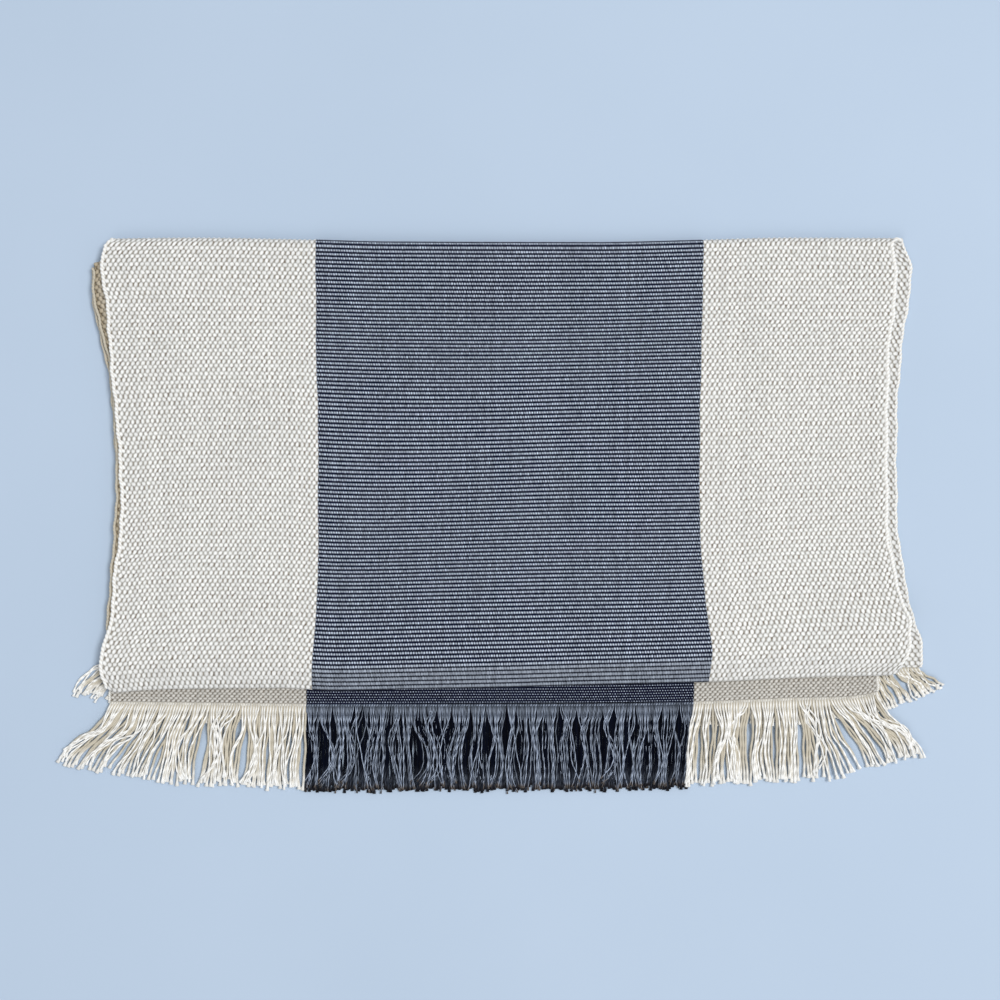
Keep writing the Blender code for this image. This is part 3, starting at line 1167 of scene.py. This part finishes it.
@dataclass
class SelvedgeCord:
    """The plied cord that edges one side of the web, from end to end.

    It lifts to its full radius on the top run, between the journeys full_from and full_to, and is
    slimmer elsewhere. At the inner bend it's nipped by the share nip, within nip_reach.
    """

    route: WebRoute
    name: str
    share: float
    outward: float
    radius: float = 0.00148
    slimmer: float = 0.00038
    lift: float = 0.0004
    sides: int = 8
    rings_per_pick: int = 4
    picks_per_twist: float = 2.0
    ply_depth: float = 0.22
    inset: float = 0.0008
    full_from: float = 1.0
    full_to: float = 3.8
    nip: float = 0.6
    nip_reach: float = 0.35

    def build(self, finish: bpy.types.Material) -> bpy.types.Object:
        """Makes the cord.

        Args:
            finish: Its plied yarn.

        Returns:
            The piece.
        """
        journey = self.route.rows(WEB_START, WEB_STOP, dict.fromkeys(range(7), self.rings_per_pick))
        pick = self.route.pick_at(journey)
        share = np.array([self.share])
        middle = self.route.surface(share, journey, np.zeros((len(journey), 1)))[:, 0]
        face = self.route.surface(share, journey, np.full((len(journey), 1), 1.0))[:, 0]
        up = face - middle
        turn = np.linspace(0, math.tau, self.sides + 1)
        ply = np.cos(2 * turn[None, :] - math.tau * pick[:, None] / self.picks_per_twist * 2)
        on_top = smooth((journey - self.full_from) / 0.5) * smooth((self.full_to - journey) / 0.6)
        inside = 1 - on_top[:, None]
        nipped = 1 - self.nip * smooth(1 - np.abs(journey - INNER_BEND) / self.nip_reach)[:, None]
        radius = (self.radius - inside * self.slimmer) * (1 + self.ply_depth * ply) * nipped
        outward = np.array([self.outward, 0.0, 0.0])
        centre = middle - outward * self.inset + up * self.lift * (1 - inside)
        side = np.cos(turn)[None, :, None] * outward
        rise = np.sin(turn)[None, :, None] * up[:, None, :]
        points = centre[:, None, :] + (side + rise) * radius[:, :, None]
        around = np.broadcast_to(turn / math.tau, ply.shape)
        along = np.broadcast_to(-pick[:, None] / self.picks_per_twist * 2, ply.shape)
        uvs = np.stack([around, along], axis=-1)
        # Painted shade: the cord takes the same painted shade as the web beside it.
        painted_shade = np.broadcast_to(self.route.depth(share, journey), ply.shape)
        mesh = wrapped_grid(f"selvedge_cord_{self.name}", points, uvs, painted_shade)
        piece = show(mesh, finish)
        parts = ("lower_outer", "outer_back_fold", "upper_outer", "front_fold", "upper_inner",
                 "inner_back_fold", "lower_inner")
        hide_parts(*(f"selvedge_{self.name}_{part}" for part in parts))
        return piece


# ---- The warp ends: lock beads and fringes ---------------------------


@dataclass(frozen=True)
class Yarn:
    """The cut warp yarns of one band, where they hang out of the web.

    The tuft is the fewest and most yarns that lie together, and gather is the share of its spread that a tuft
    keeps at its tip. Sway moves a tuft's tip, and bow bends its middle. Every second yarn lies underneath:
    it's lower_size times as thick, gathers only by the share lower_gather, follows its tuft only by the share
    lower_sway, and strays by itself only by the share lower_own. It takes full painted shade, where it lies
    under the upper yarns, less the share bright_tips at its tip. Of the upper yarns, stray_share leave their
    tuft.
    """

    count: int
    radius: float
    sides: int
    rings: int
    tuft: tuple[int, int]
    gather: float
    sway: float
    bow: float
    lower_size: float
    lower_gather: float
    lower_sway: float
    stray_share: float
    bright_tips: float
    lower_own: float = 0.35


CREAM_YARN = Yarn(
    count=140, radius=0.00078, sides=5, rings=13, tuft=(4, 11), gather=0.4, sway=0.0026, bow=0.0036,
    lower_size=1.45, lower_gather=0.16, lower_sway=0.3, stray_share=0.08, bright_tips=0.75,
)
SLATE_YARN = Yarn(
    count=560, radius=0.00043, sides=4, rings=13, tuft=(4, 11), gather=0.52, sway=0.0024, bow=0.003,
    lower_size=1.9, lower_gather=0.04, lower_sway=0.1, stray_share=0.07, bright_tips=0.12,
)


def warp_end(route: WebRoute, end: WarpEnd, band: Band, count: int) -> tuple[np.ndarray, np.ndarray]:
    """Even places along a band's warp end.

    Args:
        route: The web's route.
        end: The warp end.
        band: The band.
        count: How many places.

    Returns:
        The places across, and their points in the middle of the cloth.
    """
    share = band.left + (band.right - band.left) * (np.arange(count) + 0.5) / count
    journey = np.array([WEB_STOP if end is WarpEnd.UPPER else WEB_START])
    return share, route.surface(share, journey, np.zeros((1, count)))[0]


@dataclass
class Fringe:
    """The loose yarns of one band at one warp end, which lie in tufts on the floor.

    Up to over_share of their length they lie over_height higher, where they cross the under end. Stack
    and bend are how high and how bent the tufts are, and shed parts the two layers where they start.
    The own sizes are a yarn's own spread within its tuft. A tuft is gathered at gathered_at of its
    length and splays again from splay_from, and its yarns take landed_at of their length to sink.
    Floor_gap and layer are the height of the lowest yarns and of a level of yarns, both in radii. The painted
    shade at the roots of upper yarns, next to the web, is root_painted_shade, and cut_flare is how much a cut
    end spreads.
    """

    route: WebRoute
    band: Band
    end: WarpEnd
    yarn: Yarn
    lean: Knots
    length: Knots
    seed: int
    over_height: float = 0.0
    stack: float = 1.0
    bend: float = 1.0
    over_share: float = 0.22
    shed: float = 0.0005
    own_sway: float = 0.0007
    own_bow: float = 0.0008
    own_curl: float = 0.0006
    stray_sway: float = 0.012
    curl_share: float = 0.55
    ripple: float = 0.00035
    gathered_at: float = 0.75
    splay: float = 0.12
    splay_from: float = 0.82
    landed_at: float = 0.3
    length_spread: float = 0.022
    floor_gap: float = 1.45
    layer: float = 1.5
    cut_flare: float = 0.7
    root_painted_shade: float = 0.45

    def _tufts(self, draw: np.random.Generator) -> np.ndarray:
        """The number of the tuft that each yarn lies in.

        Args:
            draw: The source of chance.

        Returns:
            A number for each yarn, rising from left to right.
        """
        numbers: list[int] = []
        tuft = 0
        while len(numbers) < self.yarn.count:
            numbers += [tuft] * int(draw.integers(self.yarn.tuft[0], self.yarn.tuft[1] + 1))
            tuft += 1
        return np.array(numbers[: self.yarn.count])

    def _sideways(self, t: np.ndarray, draw: np.random.Generator, lower: np.ndarray,
                  stray: np.ndarray) -> np.ndarray:
        """The X of every yarn along its length.

        Args:
            t: Shares of the length.
            draw: The source of chance.
            lower: Which yarns lie underneath, and so straighter.
            stray: Which yarns leave their tuft.

        Returns:
            X, with a row for each yarn.
        """
        tuft, count = self._tufts(draw), self.yarn.count
        share, roots = warp_end(self.route, self.end, self.band, count)
        together = {name: draw.normal(0, 1, tuft.max() + 1)[tuft] for name in ("sway", "bow", "curl")}
        middle = (np.bincount(tuft, roots[:, 0]) / np.bincount(tuft))[tuft]
        freedom = np.where(lower, self.yarn.lower_sway, 1.0)
        own = np.where(lower, self.yarn.lower_own, 1.0)
        bent = self.yarn.bow * self.bend * freedom
        sway = together["sway"] * self.yarn.sway * freedom + draw.normal(0, self.own_sway, count) * own
        sway += stray * draw.uniform(-self.stray_sway, self.stray_sway, count)
        bow = together["bow"] * bent + draw.normal(0, self.own_bow, count) * own
        curl = together["curl"] * bent * self.curl_share + draw.normal(0, self.own_curl, count) * own
        lower_spread = 1 - (1 - self.yarn.gather) * self.yarn.lower_gather
        gather = np.where(lower, lower_spread, self.yarn.gather)[:, None]
        splayed = self.splay * smooth((t - self.splay_from) / (1 - self.splay_from))
        closing = 1 - (1 - gather) * smooth(t / self.gathered_at) + splayed
        reach = (through(self.lean, share) + sway)[:, None]
        wave = np.sin(math.tau * (2.7 * t + draw.random((count, 1)))) * smooth(t * 4)
        x = middle[:, None] + (roots[:, 0] - middle)[:, None] * closing + self.ripple * wave
        x += reach * (0.6 * t + 0.4 * smooth(t)) + bow[:, None] * np.sin(math.pi * t) * smooth(t * 2)
        return x + curl[:, None] * np.sin(math.tau * t) * smooth(t * 3)

    def _centre_lines(self, t: np.ndarray, lower: np.ndarray) -> np.ndarray:
        """The middle of every yarn, at shares of its length.

        Args:
            t: Shares of the length.
            lower: Which yarns lie underneath.

        Returns:
            Points, with a row for each yarn.
        """
        draw = np.random.default_rng(self.seed)
        count = self.yarn.count
        share, roots = warp_end(self.route, self.end, self.band, count)
        stray = (draw.random(count) < self.yarn.stray_share) & ~lower
        x = self._sideways(t[None, :], draw, lower, stray)
        length = through(self.length, share) * (1 + draw.normal(0, self.length_spread, count))
        steps = np.diff(t)[None, :] * length[:, None]
        forward = np.sqrt(np.maximum(steps**2 - np.diff(x, axis=1) ** 2, (0.3 * steps) ** 2))
        y = roots[:, 1:2] - np.concatenate([np.zeros((count, 1)), np.cumsum(forward, axis=1)], axis=1)
        level = np.where(lower, 0.9 * draw.random(count), 1.2 + 1.6 * draw.random(count)) + 0.9 * stray
        over = self.over_height * (1 - smooth((t - self.over_share) / self.landed_at))
        lowest = self.yarn.radius * self.floor_gap * np.where(lower, self.yarn.lower_size, 1.0)[:, None]
        rest = lowest + self.layer * self.yarn.radius * self.stack * level[:, None] + over[None, :]
        start = roots[:, 2:3] + np.where(lower, -self.shed, self.shed)[:, None]
        sag = smooth(t / self.landed_at)[None, :]
        return np.stack([x, y, np.maximum(start * (1 - sag) + rest * sag, lowest)], axis=-1)

    def build(self, finish: bpy.types.Material) -> bpy.types.Object:
        """Makes the fringe.

        Args:
            finish: Its plied yarn.

        Returns:
            The piece.
        """
        sides, rings, count = self.yarn.sides, self.yarn.rings, self.yarn.count
        turn = np.linspace(0, math.tau, sides + 1)
        ring = np.stack([np.cos(turn), np.sin(turn), 0 * turn], axis=-1)
        ring[-1] = ring[0]
        points = ring[None, :, :] + np.arange(rings + 1)[:, None, None] * np.array([0, 0, 1.0])
        t = np.append(np.linspace(0, 0.95, rings), 1.0)
        uvs = np.stack(np.meshgrid(turn / math.tau * 0.999, t * 9.0), axis=-1)
        template = wrapped_grid("yarn_template", points, uvs)
        unit = points_of(template)
        mesh = repeated(f"fringe_yarns_{self.end.value}_{self.band.name}", template, count)
        place = np.rint(unit[:, 2]).astype(int)
        lower = np.arange(count) % 2 == 1
        centre = self._centre_lines(t, lower)
        heading = np.gradient(centre, t, axis=1)
        heading /= np.linalg.norm(heading, axis=2, keepdims=True)
        side = np.cross(heading, (0.0, 0.0, 1.0))
        side /= np.linalg.norm(side, axis=2, keepdims=True)
        up = np.cross(side, heading)
        flare = 1 + self.cut_flare * (t > 0.99) - 0.12 * smooth((t - 0.02) / 0.1)
        thick = self.yarn.radius * np.where(lower, self.yarn.lower_size, 1.0)
        radius = thick[:, None, None] * flare[place][None, :, None]
        spread = unit[:, 0][None, :, None] * side[:, place] + unit[:, 1][None, :, None] * up[:, place]
        move_points(mesh, centre[:, place] + spread * radius)
        # Painted shade: lower yarns are darkened all along except towards their tips, and upper yarns at
        # their roots next to the web.
        tips = 1 - self.yarn.bright_tips * smooth((t - 0.72) / 0.2)
        roots = self.root_painted_shade * (1 - smooth((t - 0.02) / 0.12))
        mark_painted_shade(mesh, np.where(lower[:, None], tips[place], roots[place]))
        piece = show(mesh, finish)
        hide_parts(f"fringe_{self.end.value}_{self.band.name}")
        return piece


@dataclass
class LockBeads:
    """The row of tight twining that holds the last pick of one band at one warp end.

    Each bead is an oval that stands past the web's end and overlaps its neighbours, half a spacing being 0.5.
    All take the same painted shade, by tone, and twist is how far their plies turn from front to back.
    """

    route: WebRoute
    band: Band
    end: WarpEnd
    count: int
    stand: float = 0.001
    half_length: float = 0.0013
    half_height: float = 0.0011
    overlap: float = 0.52
    tone: float = 0.35
    twist: float = 0.4

    def build(self, finish: bpy.types.Material) -> bpy.types.Object:
        """Makes the beads.

        Args:
            finish: Their plied yarn.

        Returns:
            The piece.
        """
        bm = bmesh.new()
        bmesh.ops.create_uvsphere(bm, u_segments=8, v_segments=5, radius=1.0, calc_uvs=False)
        template = mesh_from("bead_template", bm)
        unit = points_of(template)
        around = (np.arctan2(unit[:, 2], unit[:, 0]) / math.tau) % 0.999
        lay_pattern(template, np.stack([around, unit[:, 1] * self.twist], axis=-1))
        mesh = repeated(f"lock_beads_{self.end.value}_{self.band.name}", template, self.count)
        _, centre = warp_end(self.route, self.end, self.band, self.count)
        centre[:, 1] -= self.stand
        half_width = (centre[-1, 0] - centre[0, 0]) / (self.count - 1) * self.overlap
        size = np.array([half_width, self.half_length, self.half_height])
        move_points(mesh, centre[:, None, :] + unit[None, :, :] * size)
        # Painted shade: every bead is darkened by the same amount.
        mark_painted_shade(mesh, np.full(len(mesh.vertices), self.tone))
        piece = show(mesh, finish)
        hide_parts(f"lock_row_{self.end.value}_{self.band.name}")
        return piece


# ---- The mat and its setting -----------------------------------------


@dataclass
class BathMat:
    """The whole mat: three bands of cloth, two cords, and the trim of both warp ends.

    The cloth stretches round the front fold between the two journeys of fold_stretch.
    """

    cord_share: float = 0.0036
    fold_stretch: tuple[float, float] = (2.962, 2.99)
    hinge_half: float = 0.0001
    first_seed: int = 11
    heading_picks: int = 8
    upper_lean: Knots = (
        (0, -0.043), (0.03, -0.04), (0.06, -0.033), (0.085, -0.024), (0.12, -0.013), (0.16, -0.008),
        (0.26, -0.003), (0.5, 0.0), (0.75, -0.003), (0.85, 0.001), (0.905, 0.006), (0.92, 0.016),
        (0.935, 0.03), (0.96, 0.036), (1, 0.038),
    )
    upper_length: Knots = (
        (0, 0.063), (0.24, 0.0625), (0.28, 0.065), (0.74, 0.065), (0.78, 0.0625), (1, 0.062),
    )
    under_lean: Knots = (
        (0, -0.032), (0.03, -0.037), (0.06, -0.034), (0.09, -0.022), (0.15, -0.01), (0.8, 0.0), (0.9, 0.012),
        (0.95, 0.017), (0.98, 0.018), (1, 0.02),
    )
    under_length: Knots = (
        (0, 0.047), (0.06, 0.05), (0.1, 0.044), (0.85, 0.044), (0.93, 0.037), (0.97, 0.03), (1, 0.024),
    )

    def bands(self) -> list[Band]:
        """The three warp bands, from left to right.

        Returns:
            The bands.
        """
        cream = {"relief": 0.00034, "ribbed": False, "weave": CREAM_WEAVE, "twist": CREAM_TWIST,
                 "tint": "cream", "per_pick": {0: 1, 1: 4, 2: 3, 3: 4, 4: 2, 5: 4, 6: 3}}
        slate = {"relief": 0.00026, "ribbed": True, "weave": SLATE_WEAVE, "twist": SLATE_TWIST,
                 "tint": "slate", "per_pick": {0: 2, 1: 6, 2: 6, 3: 6, 4: 2, 5: 6, 6: 4}}
        left, right = WebRoute.border_shares
        return [
            Band("cream_left", self.cord_share, left, ends=80, columns=160, **cream),
            Band("slate_middle", left, right, ends=302, columns=76, **slate),
            Band("cream_right", right, 1 - self.cord_share, ends=74, columns=148, **cream),
        ]

    def fringe(self, route: WebRoute, band: Band, end: WarpEnd, seed: int) -> Fringe:
        """The fringe of one band at one warp end.

        Args:
            route: The web's route.
            band: The band.
            end: The warp end.
            seed: The number that sets its chances.

        Returns:
            The fringe, yet to be built.
        """
        yarn = SLATE_YARN if band.ribbed else replace(CREAM_YARN, count=band.ends * 7 // 4)
        if end is WarpEnd.UPPER:
            lines, lie = (self.upper_lean, self.upper_length), {"over_height": 0.0022}
        else:
            lines, lie = (self.under_lean, self.under_length), {"stack": 0.3, "bend": 0.4}
        return Fringe(route, band, end, yarn, *lines, seed, **lie)

    def build(self) -> None:
        route = WebRoute()
        fold_from, fold_to, last = map(float, route.pick_at(np.array([*self.fold_stretch, 7.0])))
        picks = (fold_from, fold_to, last - self.heading_picks)
        finishes = {finish.name: finish.make(*picks) for finish in (CREAM_WEAVE, SLATE_WEAVE)}
        finishes |= {finish.name: finish.make() for finish in (CREAM_TWIST, SLATE_TWIST)}
        cords = {
            "left": SelvedgeCord(route, "left", share=0.0, outward=-1.0).build(finishes["cream_twist"]),
            "right": SelvedgeCord(route, "right", share=1.0, outward=1.0).build(finishes["cream_twist"]),
        }
        for cord in cords.values():
            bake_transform(cord)
        for number, band in enumerate(self.bands()):
            cloth = BandCloth(route, band)
            sheets = cloth.build(finishes[band.weave.name])
            trim: dict[WarpEnd, list[bpy.types.Object]] = {}
            for step, end in enumerate(WarpEnd):
                beads = LockBeads(route, band, end, band.ends // 2 if band.ribbed else band.ends)
                fringe = self.fringe(route, band, end, self.first_seed + 2 * number + step)
                twist = finishes[band.twist.name]
                trim[end] = [beads.build(twist), fringe.build(twist)]
                for piece in trim[end]:
                    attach(piece, BASE)
            for stretch, sheet in sheets.items():
                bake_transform(sheet)
                end = WarpEnd.UNDER if stretch is Stretch.OUTER else WarpEnd.UPPER
                cloth.flat_size(stretch)

    @staticmethod
    def _cords_beside(band: Band, cords: dict[str, bpy.types.Object]) -> list[bpy.types.Object]:
        """The selvedge cord along a band's outer side, if it has one."""
        return [cord for side, cord in cords.items() if band.name.endswith(side)]


@dataclass
class Studio:
    """The floor, the lights and the camera."""

    floor_side: float = 14.0
    floor_drop: float = 0.0002
    floor_finish: FloorFinish = FloorFinish("pale_floor", (0.44, 0.54, 0.665), (0.49, 0.59, 0.72))
    camera_height: float = 1.212
    camera_centre: tuple[float, float] = (0.0, 0.0099)
    field_width: float = 0.75
    sensor: float = 36.0
    sky_colour: Colour = (0.93, 0.96, 1.0)
    sky_strength: float = 0.5

    def floor(self) -> None:
        """Lays the floor just under the mat."""
        bm = bmesh.new()
        bmesh.ops.create_grid(bm, x_segments=1, y_segments=1, size=self.floor_side / 2)
        bmesh.ops.translate(bm, verts=bm.verts, vec=(0, 0, -self.floor_drop))
        mesh = mesh_from("floor", bm)
        mesh.materials.append(self.floor_finish.make())
        floor = linked("floor", mesh)

    def lamp(self, name: str, place: tuple[float, float, float], size: float, power: float) -> None:
        """Hangs one soft square lamp that shines at the mat.

        Args:
            name: The lamp's name.
            place: Where it hangs.
            size: Its side.
            power: Its power in watts.
        """
        light = bpy.data.lights.new(name, "AREA")
        light.shape = "SQUARE"
        light.size = size
        light.energy = power
        lamp = linked(name, light)
        lamp.location = place
        lamp.rotation_euler = (-Vector(place)).to_track_quat("-Z", "Y").to_euler()

    def camera(self) -> None:
        """Looks straight down on the mat."""
        data = bpy.data.cameras.new("camera")
        data.sensor_width = self.sensor
        data.lens = self.sensor * (self.camera_height - cad_high.z) / self.field_width
        camera = linked("camera", data)
        camera.location = (*self.camera_centre, self.camera_height)
        bpy.context.scene.camera = camera

    def build(self) -> None:
        """Makes the whole setting."""
        scene = bpy.context.scene
        scene.view_settings.view_transform = "Standard"
        world = bpy.data.worlds.new("studio")
        world.use_nodes = True
        sky = world.node_tree.nodes["Background"]
        sky.inputs["Color"].default_value = (*self.sky_colour, 1.0)
        sky.inputs["Strength"].default_value = self.sky_strength
        scene.world = world
        self.floor()
        self.lamp("key", (1.7, 0.5, 4.0), size=1.3, power=110.0)
        self.lamp("fill", (-1.6, -2.6, 3.4), size=3.0, power=35.0)
        self.camera()


def main() -> None:
    """Builds the setting and the mat."""
    logging.basicConfig(level=logging.INFO, format="%(name)s: %(message)s")
    Studio().build()
    BathMat().build()


if __name__ == "__main__":
    main()
